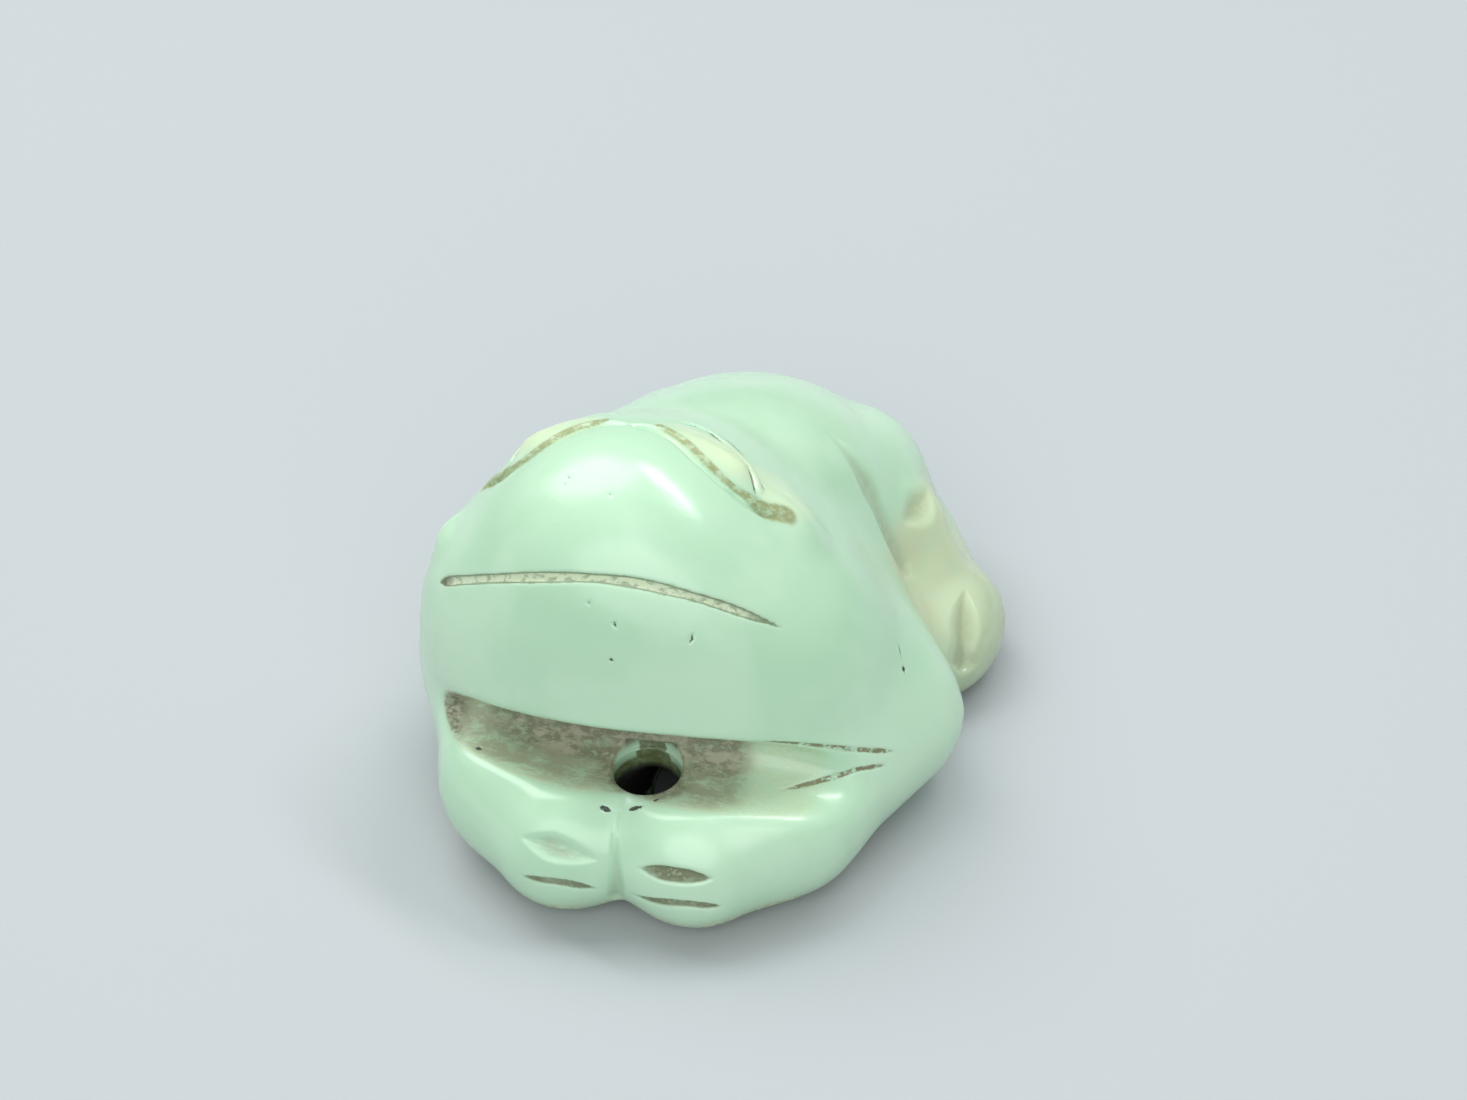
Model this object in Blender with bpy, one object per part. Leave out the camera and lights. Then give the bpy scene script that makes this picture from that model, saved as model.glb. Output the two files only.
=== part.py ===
"""A crouching toad carved from one piece of pale jade, with a drilled hole to hang it by.

The toad faces -Y and rests on its flat underside. Its own left side is +X. The carving is
symmetric in plan, but its head leans to its right and its mouth line is off centre.
"""
import math

import bmesh
import bpy
import numpy as np
from mathutils import Matrix, Vector

NAME = "jade_toad"

# Size of the whole carving, in metres
BODY_WIDTH = 0.0302
BODY_LENGTH = 0.0388
BODY_HEIGHT = 0.0217

# Cuts in the surface, in metres
MOUTH_WIDTH = 0.0006
MOUTH_DEPTH = 0.00022
BROW_WIDTH = 0.0011
BROW_DEPTH = 0.00045
LID_WIDTH = 0.0006
LID_DEPTH = 0.00016
TOE_WIDTH = 0.0008
TOE_DEPTH = 0.00035
FOLD_WIDTH = 0.0014
FOLD_DEPTH = 0.00035

# The hanging hole, in metres: a short upright bore under the chin meets one from the underside
HOLE_DIAMETER = 0.0034
HOLE_DEPTH = 0.0034
EXIT_DIAMETER = 0.0030
EXIT_TILT = math.radians(52)
HOLE_HEADROOM = 0.0012

# Fineness of the faceted surface, in metres
FACET = 0.0020
FINE_FACET = 0.00040
TURN_IN_FACET = math.radians(34)

# The carving is drawn on a grid of squares, as a carver squares up a block. At the size above a
# square is one millimetre each way, and all places and radii of the free form are in squares.
GRID = np.array((30.2, 38.8, 21.7))
SQUARE = np.array((BODY_WIDTH, BODY_LENGTH, BODY_HEIGHT)) / GRID
HEART = np.array((0.0, -3.0, 9.0))
BASE_CUT = 0.03

# Lines of the carving, in squares, each through a few points near the surface. The brow, lid and
# leg lines are given for the toad's left side and are repeated on its right.
BROW = ((0.0, -6.8, 21.6), (2.0, -6.9, 21.3), (4.0, -7.8, 20.7), (5.6, -8.3, 19.8), (6.9, -8.4, 18.6),
        (7.9, -8.0, 17.6))
LID = ((1.0, -6.2, 21.4), (2.2, -5.2, 20.6), (3.4, -4.8, 20.0), (4.8, -5.4, 19.6), (5.9, -6.6, 19.2),
       (6.5, -7.6, 18.9))
MOUTH = ((-9.6, -12.1, 14.4), (-4.1, -14.6, 17.4), (0.8, -15.0, 18.3), (4.8, -14.3, 17.2), (8.3, -13.1, 15.0))
HAUNCH_FOLD = ((5.6, 2.5, 15.2), (7.8, 1.9, 12.9), (9.2, 1.2, 10.0), (9.8, 1.6, 6.5))
KNEE_FOLD = ((9.4, 2.8, 9.8), (9.9, 4.4, 9.9), (10.0, 6.4, 9.9))
FOOT_CLEFT = ((12.9, 2.9, 5.7), (13.6, 0.6, 4.7), (13.9, -0.9, 2.9))
RIGHT_TOES = (((-4.7, -20.4, 5.8), (-2.7, -20.7, 5.6), (-0.8, -20.4, 4.9)),
              ((-4.8, -21.0, 3.7), (-2.6, -21.3, 3.8), (-0.8, -20.6, 3.1)))
LEFT_TOES = (((1.1, -20.5, 4.9), (3.2, -21.0, 5.2), (5.1, -20.6, 5.0)),
             ((0.7, -20.6, 3.0), (3.5, -21.3, 3.6), (5.5, -20.6, 3.2)))

# Low swellings: each eye between its brow and lid, and a gland behind each cheek, in squares
EYE_PLACE = (4.0, -6.6, 20.1)
EYE_RADII = (3.1, 1.3, 1.3)
EYE_TURN = -8
EYE_RISE = 0.35
GLANDS = (((8.0, -7.2, 17.0), 2.6), ((-9.9, -9.4, 15.3), 1.8))
GLAND_RISE = 0.4

# The hollow under the chin, in squares: a lens bent back round the throat, with its ends lower
HOLLOW_PLACE = np.array((1.2, -16.75, 8.75))
HOLLOW_RADII = np.array((11.9, 2.4, 1.65))
HOLLOW_BEND_RIGHT = 0.020
HOLLOW_BEND_LEFT = 0.012
HOLLOW_DROP_RIGHT = 0.007
HOLLOW_DROP_LEFT = 0.014

# Middle of the hole on the floor of the hollow, in squares
HOLE_PLACE = np.array((0.6, -15.9, 7.1))


def turn(axis, degrees):
    """Rotation matrix about X, Y or Z."""
    return np.array(Matrix.Rotation(math.radians(degrees), 3, axis))


def ellipsoid(p, centre, radii, axis="X", degrees=0.0):
    """Signed distance, near enough, to an ellipsoid turned about one axis."""
    q = (p - np.array(centre)) @ turn(axis, degrees)
    radii = np.array(radii)
    near = np.linalg.norm(q / radii, axis=1)
    slope = np.linalg.norm(q / radii ** 2, axis=1) + 1e-9
    return near * (near - 1) / slope


def limb(p, start, end, start_radius, end_radius):
    """Signed distance to a tapering rod with round ends."""
    start, end = np.array(start), np.array(end)
    along = end - start
    share = np.clip((p - start) @ along / (along @ along), 0, 1)
    radius = start_radius + (end_radius - start_radius) * share
    return np.linalg.norm(p - start - share[:, None] * along, axis=1) - radius


def join(a, b, soft):
    """Union of two forms with a soft fillet between them."""
    share = np.clip(0.5 + 0.5 * (b - a) / soft, 0, 1)
    return b * (1 - share) + a * share - soft * share * (1 - share)


def cut(a, b, soft):
    """Form a with form b taken away, with a soft edge."""
    return -join(-a, b, soft)


def ease(value, start, length):
    """Smooth step from 0 to 1 over a length."""
    share = np.clip((value - start) / length, 0, 1)
    return share * share * (3 - 2 * share)


def lean_at(p):
    """How far the middle of the toad lies to its right at each point, for its head and its spine."""
    hind = ease(p[:, 1], -6.0, 14.0)
    high = np.clip((p[:, 2] - 5.0) / 17.0, 0, 1)
    return 2.0 * high * (1 - hind) - 1.2 * hind


def straighten(p):
    """Take the lean of the head and the slight bend of the spine out of the points."""
    q = p.copy()
    q[:, 0] += lean_at(p)
    return q


def body_form(q):
    """The toad without its cut lines, in straightened squares."""
    m = q.copy()
    m[:, 0] = np.sqrt(q[:, 0] ** 2 + 0.9 ** 2)
    form = ellipsoid(q, (0, 2.0, 8.8), (9.3, 16.5, 8.2), "X", -24)                    # back and belly
    form = join(form, ellipsoid(q, (0, 0, 3.2), (9.8, 16.0, 5.0)), 2.4)              # underside
    form = join(form, ellipsoid(q, (0, -6.6, 6.6), (13.4, 10.4, 7.8)), 3.0)           # chest
    form = join(form, ellipsoid(q, (0, -8.8, 10.8), (11.8, 8.2, 8.4)), 3.0)           # jowls
    form = join(form, ellipsoid(q, (0, -8.8, 14.6), (7.2, 6.8, 7.0)), 3.0)            # crown
    form = join(form, ellipsoid(m, (6.3, 7.4, 5.9), (3.9, 7.2, 6.0), "Z", 10), 1.6)   # haunches
    form = join(form, ellipsoid(m, (9.6, 1.6, 2.6), (3.4, 6.4, 4.0)), 1.8)            # groins
    form = join(form, forearms(m, q), 1.6)
    shin = limb(m, (9.4, 4.9, 7.8), (11.2, 4.0, 4.2), 1.8, 1.9)
    heel = limb(m, (8.8, 8.8, 3.6), (11.6, 4.5, 2.6), 2.6, 2.3)
    form = join(form, join(shin, heel, 1.4), 2.0)
    form = join(form, ellipsoid(m, (12.2, 2.6, 2.6), (2.9, 4.4, 2.8)), 1.2)           # rear feet
    return cut(form, q[:, 2], 0.8)                                                     # underside


def forearms(m, q):
    """Both forearms, from the elbows by the wrists to paws that meet under the chin."""
    spread = 1.4 * (q[:, 0] > 0) * np.clip((q[:, 1] + 20) / 14, 0, 1)
    a = m.copy()
    a[:, 0] -= spread
    elbow, wrist, paw = (9.0, -7.0, 4.8), (6.4, -14.4, 4.0), (3.4, -17.3, 3.6)
    return join(limb(a, elbow, wrist, 4.8, 4.1), limb(a, wrist, paw, 4.1, 4.0), 1.6)


def slope_of(form, q, step=0.05):
    """Unit vectors pointing out of a form."""
    shifts = np.eye(3) * step
    slope = np.stack([form(q + shift) - form(q - shift) for shift in shifts], axis=1)
    return slope / (np.linalg.norm(slope, axis=1, keepdims=True) + 1e-9)


def settle(form, q, rounds=8):
    """Move points onto the surface of a form."""
    for _ in range(rounds):
        q = q - 0.8 * form(q)[:, None] * slope_of(form, q)
    return q


def smooth_line(points, steps=8):
    """A curve through points, read at short steps and laid on the toad's surface."""
    points = [Vector(point) for point in points]
    points = [2 * points[0] - points[1], *points, 2 * points[-1] - points[-2]]
    curve = []
    for a, b, c, d in zip(points, points[1:], points[2:], points[3:]):
        for step in range(steps):
            t = step / steps
            curve.append(0.5 * (2 * b + (c - a) * t + (2 * a - 5 * b + 4 * c - d) * t ** 2
                                + (3 * b - a - 3 * c + d) * t ** 3))
    curve.append(points[-2])
    return settle(body_form, np.array(curve))


def distance_to_line(p, line):
    """Distance from points to a line, in metres, and the share of the line passed at the foot."""
    best = np.full(len(p), np.inf)
    share = np.zeros(len(p))
    starts, ends = line[:-1] * SQUARE, line[1:] * SQUARE
    p = p * SQUARE
    for index, (start, end) in enumerate(zip(starts, ends)):
        along = end - start
        foot = np.clip((p - start) @ along / (along @ along), 0, 1)
        distance = np.linalg.norm(p - start - foot[:, None] * along, axis=1)
        nearer = distance < best
        best[nearer] = distance[nearer]
        share[nearer] = ((index + foot) / len(starts))[nearer]
    return best, share


def mirrored(points):
    """The same points on the toad's right side."""
    return tuple((-x, y, z) for x, y, z in points)


def all_cuts():
    """Every carved line with its width and depth, in metres."""
    cuts = [(MOUTH, MOUTH_WIDTH, MOUTH_DEPTH)]
    cuts += [(toe, TOE_WIDTH, TOE_DEPTH) for toe in RIGHT_TOES + LEFT_TOES]
    for line, width, depth in ((BROW, BROW_WIDTH, BROW_DEPTH), (LID, LID_WIDTH, LID_DEPTH),
                               (HAUNCH_FOLD, FOLD_WIDTH, FOLD_DEPTH), (KNEE_FOLD, FOLD_WIDTH, FOLD_DEPTH),
                               (FOOT_CLEFT, FOLD_WIDTH, FOLD_DEPTH)):
        cuts += [(line, width, depth), (mirrored(line), width, depth)]
    return [(smooth_line(line), width, depth) for line, width, depth in cuts]


CUTS = all_cuts()


def relief(q):
    """Height of the carving over the plain body, in squares: eyes and glands up, lines down."""
    m = q.copy()
    m[:, 0] = np.abs(q[:, 0])
    across = ellipsoid(m, EYE_PLACE, EYE_RADII, "Z", EYE_TURN) / min(EYE_RADII)
    height = EYE_RISE * (1 - ease(across, -1.0, 1.4))
    for place, radius in GLANDS:
        reach = np.linalg.norm(q - np.array(place), axis=1)
        height += GLAND_RISE * (1 - ease(reach, 0.0, radius))
    for line, width, depth in CUTS:
        distance, share = distance_to_line(q, line)
        taper = np.minimum(ease(share, 0.0, 0.12), 1 - ease(share, 0.88, 0.12))
        height -= depth / SQUARE.mean() * taper * (1 - ease(distance, 0.0, width / 2))
    return height


def plain_form(p):
    """The toad in squares, leaning as it does, without its cut lines."""
    return body_form(straighten(p))


def toad_form(p):
    """The whole carving in squares, leaning as it does, with its cut lines."""
    q = straighten(p)
    return body_form(q) - relief(q)


def lay_on_toad(vertices, far=40.0):
    """Move vertices, each along its line from the heart, onto the outermost surface."""
    rays = np.array([vertex.co for vertex in vertices]) - HEART
    rays /= np.linalg.norm(rays, axis=1, keepdims=True)
    reach = np.full(len(rays), far)
    for form, rounds in ((plain_form, 60), (toad_form, 6)):
        for _ in range(rounds):
            reach -= 0.8 * form(HEART + rays * reach[:, None])
    for vertex, place in zip(vertices, HEART + rays * reach[:, None]):
        vertex.co = place


def wanted_edge(ends):
    """Edge length wanted for each pair of ends, in metres: short at a cut and where the form turns."""
    q = straighten(ends.mean(axis=1))
    wanted = np.full(len(q), FACET)
    facing = [slope_of(plain_form, ends[:, end]) for end in (0, 1)]
    turned = np.arccos(np.clip((facing[0] * facing[1]).sum(axis=1), -1, 1))
    wanted[turned > TURN_IN_FACET] = 2 * FINE_FACET
    for line, width, _ in CUTS:
        distance, _ = distance_to_line(q, line)
        wanted = np.minimum(wanted, FINE_FACET + 0.7 * np.maximum(distance - width / 2, 0))
    return wanted


def split_long_edges(bm):
    """Halve every edge that is longer than wanted where it lies, and return the new vertices."""
    edges = list(bm.edges)
    ends = np.array([[vertex.co for vertex in edge.verts] for edge in edges])
    lengths = np.linalg.norm((ends[:, 1] - ends[:, 0]) * SQUARE, axis=1)
    excess = lengths / wanted_edge(ends)
    waiting = [edges[index] for index in np.argsort(-excess) if excess[index] > 1.4]
    before = set(bm.verts)
    while waiting:
        # One edge of a triangle at a time, so that every face stays a triangle
        chosen, later, touched = [], [], set()
        for edge in waiting:
            if touched.isdisjoint(edge.link_faces):
                chosen.append(edge)
                touched.update(edge.link_faces)
            else:
                later.append(edge)
        bmesh.ops.subdivide_edges(bm, edges=chosen, cuts=1, use_single_edge=True)
        waiting = later
    return [vertex for vertex in bm.verts if vertex not in before]


def toad_mesh():
    """The closed faceted body, in metres, with its base cut flat."""
    bm = bmesh.new()
    bmesh.ops.create_icosphere(bm, subdivisions=4, radius=1.0, matrix=Matrix.Translation(HEART))
    lay_on_toad(list(bm.verts))
    for _ in range(6):
        fresh = split_long_edges(bm)
        if not fresh:
            break
        lay_on_toad(fresh)
    bmesh.ops.smooth_vert(bm, verts=bm.verts[:], factor=0.4, use_axis_x=True, use_axis_y=True, use_axis_z=True)
    lay_on_toad(list(bm.verts))
    bmesh.ops.bisect_plane(bm, geom=bm.verts[:] + bm.edges[:] + bm.faces[:], plane_co=(0, 0, BASE_CUT),
                           plane_no=(0, 0, -1), clear_outer=True)
    rim = [edge for edge in bm.edges if edge.is_boundary]
    bmesh.ops.contextual_create(bm, geom=rim)
    bmesh.ops.scale(bm, vec=Vector(SQUARE), verts=bm.verts[:])
    bmesh.ops.recalc_face_normals(bm, faces=bm.faces[:])
    mesh = bpy.data.meshes.new(NAME)
    bm.to_mesh(mesh)
    bm.free()
    return mesh


def bottom_centre(mesh):
    """Middle of a mesh's bounding box, at its lowest point."""
    places = np.array([vertex.co for vertex in mesh.vertices])
    low, high = places.min(axis=0), places.max(axis=0)
    return Vector(((low[0] + high[0]) / 2, (low[1] + high[1]) / 2, low[2]))


def collection(name):
    """A new collection in the scene."""
    made = bpy.data.collections.new(name)
    bpy.context.scene.collection.children.link(made)
    return made


def cutter_from(name, group, bm):
    """A hidden cutter with the given shape."""
    mesh = bpy.data.meshes.new(name)
    bm.to_mesh(mesh)
    bm.free()
    cutter = bpy.data.objects.new(name, mesh)
    cutter.display_type = "WIRE"
    cutter.hide_render = True
    group.objects.link(cutter)
    return cutter


def hollow(group, seat):
    """The lens-shaped cutter for the hollow under the chin."""
    bm = bmesh.new()
    bmesh.ops.create_icosphere(bm, subdivisions=4, radius=1.0)
    q = HOLLOW_PLACE + HOLLOW_RADII * np.array([vertex.co for vertex in bm.verts])
    aside = q[:, 0] ** 2
    q[:, 1] += np.where(q[:, 0] > 0, HOLLOW_BEND_LEFT, HOLLOW_BEND_RIGHT) * aside
    q[:, 2] -= np.where(q[:, 0] > 0, HOLLOW_DROP_LEFT, HOLLOW_DROP_RIGHT) * aside
    q[:, 0] -= lean_at(q)
    for vertex, place in zip(bm.verts, q * SQUARE - np.array(seat)):
        vertex.co = place
    return cutter_from("hollow", group, bm)


def bore(name, group, diameter, top, bottom):
    """A round cutter between two points."""
    axis = top - bottom
    bm = bmesh.new()
    bmesh.ops.create_cone(bm, cap_ends=True, segments=24, radius1=diameter / 2, radius2=diameter / 2,
                          depth=axis.length)
    cutter = cutter_from(name, group, bm)
    cutter.matrix_world = Matrix.Translation((top + bottom) / 2) @ axis.to_track_quat("Z", "Y").to_matrix().to_4x4()
    return cutter


def bores(group, seat):
    """The upright bore down from the hollow, and the slanting one from its foot to the underside."""
    mouth = Vector(HOLE_PLACE * SQUARE) - seat
    foot = mouth - Vector((0, 0, HOLE_DEPTH))
    inner = foot + Vector((0, 0, EXIT_DIAMETER / 2))
    run = Vector((0, math.sin(EXIT_TILT), -math.cos(EXIT_TILT)))
    length = (inner.z + EXIT_DIAMETER) / math.cos(EXIT_TILT)
    return (bore("upright_bore", group, HOLE_DIAMETER, mouth + Vector((0, 0, HOLE_HEADROOM)), foot),
            bore("slanting_bore", group, EXIT_DIAMETER, inner, inner + run * length))


def jade():
    """Polished pale green jade."""
    material = bpy.data.materials.new("pale_jade")
    material.use_nodes = True
    shader = material.node_tree.nodes["Principled BSDF"]
    shader.inputs["Base Color"].default_value = (0.53, 0.75, 0.58, 1.0)
    shader.inputs["Roughness"].default_value = 0.22
    shader.inputs["Metallic"].default_value = 0.0
    return material


def main():
    for thing in list(bpy.data.objects):
        bpy.data.objects.remove(thing, do_unlink=True)
    parts = collection("jade_toad_carving")
    cutters = collection("cutters")
    mesh = toad_mesh()
    seat = bottom_centre(mesh)
    mesh.transform(Matrix.Translation(-seat))
    toad = bpy.data.objects.new(NAME, mesh)
    toad.data.materials.append(jade())
    parts.objects.link(toad)
    for cutter in (hollow(cutters, seat), *bores(cutters, seat)):
        drill = toad.modifiers.new(cutter.name, "BOOLEAN")
        drill.object = cutter
        drill.operation = "DIFFERENCE"
        drill.solver = "EXACT"


main()
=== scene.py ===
# %% [markdown]
# # A crouching toad in pale jade
# The object is a small toad, about 39 mm long, carved from one pebble of pale green jade and polished.
# It has a domed head with lidded eyes, a long cut mouth, forepaws that meet under the chin, and a
# drilled hole to hang it by. The model is already packed as faceted solids: this script loads them
# as a fixed frame and dresses them with a fine mesh and a stone finish.

import math

import bmesh
import bpy
import numpy as np
from mathutils import Matrix, Vector
from mathutils.kdtree import KDTree


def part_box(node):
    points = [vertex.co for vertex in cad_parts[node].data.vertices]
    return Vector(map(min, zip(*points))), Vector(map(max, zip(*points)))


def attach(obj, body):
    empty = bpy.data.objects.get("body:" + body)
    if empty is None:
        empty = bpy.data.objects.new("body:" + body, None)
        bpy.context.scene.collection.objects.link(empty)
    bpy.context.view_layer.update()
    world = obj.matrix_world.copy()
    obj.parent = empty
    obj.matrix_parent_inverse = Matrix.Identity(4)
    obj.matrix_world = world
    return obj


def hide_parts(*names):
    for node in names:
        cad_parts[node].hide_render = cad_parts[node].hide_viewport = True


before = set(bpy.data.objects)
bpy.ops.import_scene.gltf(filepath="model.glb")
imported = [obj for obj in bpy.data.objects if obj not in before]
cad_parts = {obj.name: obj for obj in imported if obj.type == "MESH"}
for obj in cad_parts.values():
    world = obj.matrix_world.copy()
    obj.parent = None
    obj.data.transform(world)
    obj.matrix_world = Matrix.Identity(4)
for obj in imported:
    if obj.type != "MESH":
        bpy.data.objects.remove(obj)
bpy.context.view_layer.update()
CAD_LOW, CAD_HIGH = (np.array(corner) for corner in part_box("jade_toad"))
print("solid from", CAD_LOW, "to", CAD_HIGH)

# %% [markdown]
# ## Camera
# The picture was taken from in front and above, close up, with a slight roll. The camera is set by
# where it looks from (turn, height and distance) and by one point of the toad, the cleft between its
# paws, that has a known place in the picture. Depth of field stays off.

# %% Camera
MM = 0.001
# Width and height of the picture in pixels
PICTURE = (1467, 1100)
TURN, HEIGHT, ROLL = math.radians(14.0), math.radians(38.0), math.radians(-2.0)
DISTANCE = 130 * MM
PIXELS_PER_MM = 20.0
SENSOR = 36.0
NEAREST_SEEN = 10 * MM
CLEFT = Vector((-0.80, -18.62, 0.47)) * MM
CLEFT_PIXEL = (619, 927)


def look_from(turn, height, roll):
    """The camera's right, up and backward directions."""
    level = math.cos(height)
    back = Vector((math.sin(turn) * level, -math.cos(turn) * level, math.sin(height)))
    right = Vector((math.cos(turn), math.sin(turn), 0))
    up = back.cross(right)
    return right * math.cos(roll) + up * math.sin(roll), up * math.cos(roll) - right * math.sin(roll), back


def make_camera():
    """A camera that sees the cleft at its pixel from the given side."""
    focal = PIXELS_PER_MM * DISTANCE / MM
    right, up, back = look_from(TURN, HEIGHT, ROLL)
    across = (CLEFT_PIXEL[0] - PICTURE[0] / 2) / focal
    upward = (PICTURE[1] / 2 - CLEFT_PIXEL[1]) / focal
    data = bpy.data.cameras.new("camera")
    data.sensor_width = SENSOR
    data.lens = SENSOR * focal / PICTURE[0]
    data.clip_start = NEAREST_SEEN
    camera = bpy.data.objects.new("camera", data)
    camera.matrix_world = Matrix((right, up, back)).transposed().to_4x4()
    camera.location = CLEFT - DISTANCE * (across * right + upward * up - back)
    bpy.context.scene.collection.objects.link(camera)
    bpy.context.scene.camera = camera
    return camera


camera = make_camera()
print("camera at", [round(c / MM, 1) for c in camera.location], "mm, lens", round(camera.data.lens, 1), "mm")

# %% [markdown]
# ## The form of the toad
# A carver squares up a block and rounds masses into one another. The same can be done in numbers: each
# mass is an ellipsoid or a tapering limb that tells how far a point lies from its surface, and masses
# are joined with a soft fillet. Such a field can be read at any fineness, where a sculpted mesh
# has only the detail it was made with. One square of the grid is a millimetre.

# %% Masses and how they are joined
def turn_about(axis, degrees):
    """Rotation matrix about X, Y or Z."""
    return np.array(Matrix.Rotation(math.radians(degrees), 3, axis))


def length(v):
    """Length of each row of an array."""
    return np.sqrt(np.einsum("ij,ij->i", v, v))


def ellipsoid(p, centre, radii, axis="X", degrees=0.0):
    """Signed distance, near enough, to an ellipsoid turned about one axis."""
    q = (p - np.array(centre)) @ turn_about(axis, degrees) / np.array(radii)
    near = length(q)
    return near * (near - 1) / (length(q / np.array(radii)) + 1e-9)


def limb(p, start, end, start_radius, end_radius):
    """Signed distance to a tapering rod with round ends."""
    start, end = np.array(start), np.array(end)
    along = end - start
    share = np.clip((p - start) @ along / (along @ along), 0, 1)
    return length(p - start - share[:, None] * along) - start_radius - (end_radius - start_radius) * share


def join(a, b, soft):
    """Union of two forms with a soft fillet between them."""
    share = np.clip(0.5 + 0.5 * (b - a) / soft, 0, 1)
    return b * (1 - share) + a * share - soft * share * (1 - share)


def cut(a, b, soft):
    """Form a with form b taken away, with a soft edge."""
    return -join(-a, b, soft)


def ease(value, start, run):
    """Smooth step from 0 to 1 over a run."""
    share = np.clip((value - start) / run, 0, 1)
    return share * share * (3 - 2 * share)


print("a ball of 2 squares, read 5 squares from its middle:",
      ellipsoid(np.array([[5.0, 0, 0]]), (0, 0, 0), (2, 2, 2))[0].round(3))


# %% The lean of the head and the bend of the spine
def lean_at(p):
    """How far the toad's middle lies to its right at each point, in squares."""
    hind = ease(p[:, 1], -6.0, 14.0)
    high = np.clip((p[:, 2] - 5.0) / 17.0, 0, 1)
    return 2.0 * high * (1 - hind) - 1.2 * hind


def straighten(p):
    """Points of the leaning toad, brought to the straight one."""
    q = p.copy()
    q[:, 0] += lean_at(p)
    return q


def lean(q):
    """Points of the straight toad, brought to the leaning one."""
    p = q.copy()
    p[:, 0] -= lean_at(q)
    return p


print("the crown leans", lean_at(np.array([[0, -9.0, 22.0]]))[0].round(2), "and the rump",
      lean_at(np.array([[0, 15.0, 8.0]]))[0].round(2))


# %% Back, head, haunches and feet
# Mirrored masses read the distance from the middle plane, but never less than this, so that the two
# sides meet without a crease
MIDDLE = 0.9


def forearms(m, q):
    """Both forearms, from the elbows by the wrists to paws that meet under the chin."""
    a = m.copy()
    a[:, 0] -= 1.4 * (q[:, 0] > 0) * np.clip((q[:, 1] + 20) / 14, 0, 1)
    elbow, wrist, paw = (9.0, -7.0, 4.8), (6.4, -14.4, 4.0), (3.4, -17.3, 3.6)
    return join(limb(a, elbow, wrist, 4.8, 4.1), limb(a, wrist, paw, 4.1, 4.0), 1.6)


def body_form(q):
    """The toad without its hollow and cut lines, in straight squares."""
    m = q.copy()
    m[:, 0] = np.sqrt(q[:, 0] ** 2 + MIDDLE ** 2)
    form = ellipsoid(q, (0, 2.0, 8.8), (9.3, 16.5, 8.2), "X", -24)
    form = join(form, ellipsoid(q, (0, 0, 3.2), (9.8, 16.0, 5.0)), 2.4)
    form = join(form, ellipsoid(q, (0, -6.6, 6.6), (13.4, 10.4, 7.8)), 3.0)
    form = join(form, ellipsoid(q, (0, -8.8, 10.8), (11.8, 8.2, 8.4)), 3.0)
    form = join(form, ellipsoid(q, (0, -8.8, 14.6), (7.2, 6.8, 7.0)), 3.0)
    form = join(form, ellipsoid(m, (6.3, 7.4, 5.9), (3.9, 7.2, 6.0), "Z", 10), 1.6)
    form = join(form, ellipsoid(m, (9.6, 1.6, 2.6), (3.4, 6.4, 4.0)), 1.8)
    form = join(form, forearms(m, q), 1.6)
    shin = limb(m, (9.4, 4.9, 7.8), (11.2, 4.0, 4.2), 1.8, 1.9)
    heel = limb(m, (8.8, 8.8, 3.6), (11.6, 4.5, 2.6), 2.6, 2.3)
    form = join(form, join(shin, heel, 1.4), 2.0)
    form = join(form, ellipsoid(m, (12.2, 2.6, 2.6), (2.9, 4.4, 2.8)), 1.2)
    return cut(form, q[:, 2], 0.8)


print("the heart lies", -body_form(np.array([[0.0, -3.0, 9.0]]))[0].round(2), "squares deep")


# %% Swellings: the eyeballs and a gland behind each cheek
EYE_PLACE, EYE_RADII, EYE_TURN, EYE_RISE = (4.0, -6.6, 20.1), (3.1, 1.3, 1.3), -8, 0.35
GLANDS = (((8.0, -7.2, 17.0), 2.6), ((-9.9, -9.4, 15.3), 1.8))
GLAND_RISE = 0.4


def eye_share(q):
    """1 in the middle of an eyeball, 0 outside it."""
    m = q.copy()
    m[:, 0] = np.abs(q[:, 0])
    return 1 - ease(ellipsoid(m, EYE_PLACE, EYE_RADII, "Z", EYE_TURN) / min(EYE_RADII), -1.0, 1.4)


def closed_skin(q):
    """The body with its swellings, before the hollow is cut, in straight squares."""
    rise = EYE_RISE * eye_share(q)
    for place, radius in GLANDS:
        rise += GLAND_RISE * (1 - ease(length(q - np.array(place)), 0.0, radius))
    return body_form(q) - rise


print("an eyeball rises", EYE_RISE * eye_share(np.array([EYE_PLACE]))[0].round(2), "squares")


# %% The hollow under the chin
HOLLOW_PLACE, HOLLOW_RADII = np.array((1.2, -16.75, 8.75)), np.array((11.9, 2.4, 1.65))
HOLLOW_BEND_RIGHT, HOLLOW_BEND_LEFT = 0.020, 0.012
HOLLOW_DROP_RIGHT, HOLLOW_DROP_LEFT = 0.007, 0.014
# How softly its lip is rounded
HOLLOW_EDGE = 0.90


def hollow_shift(x):
    """How far the hollow is bent back round the throat and dropped, at each place across."""
    left = x > 0
    return (np.where(left, HOLLOW_BEND_LEFT, HOLLOW_BEND_RIGHT) * x ** 2,
            -np.where(left, HOLLOW_DROP_LEFT, HOLLOW_DROP_RIGHT) * x ** 2)


def hollow(q):
    """Signed distance to the hollow: a lens bent round the throat, its ends a little lower."""
    r = q.copy()
    back, down = hollow_shift(q[:, 0])
    r[:, 1] -= back
    r[:, 2] -= down
    return ellipsoid(r, HOLLOW_PLACE, HOLLOW_RADII)


def skin(q):
    """The whole form but its cut lines, in straight squares."""
    return cut(closed_skin(q), hollow(q), HOLLOW_EDGE)


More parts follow.
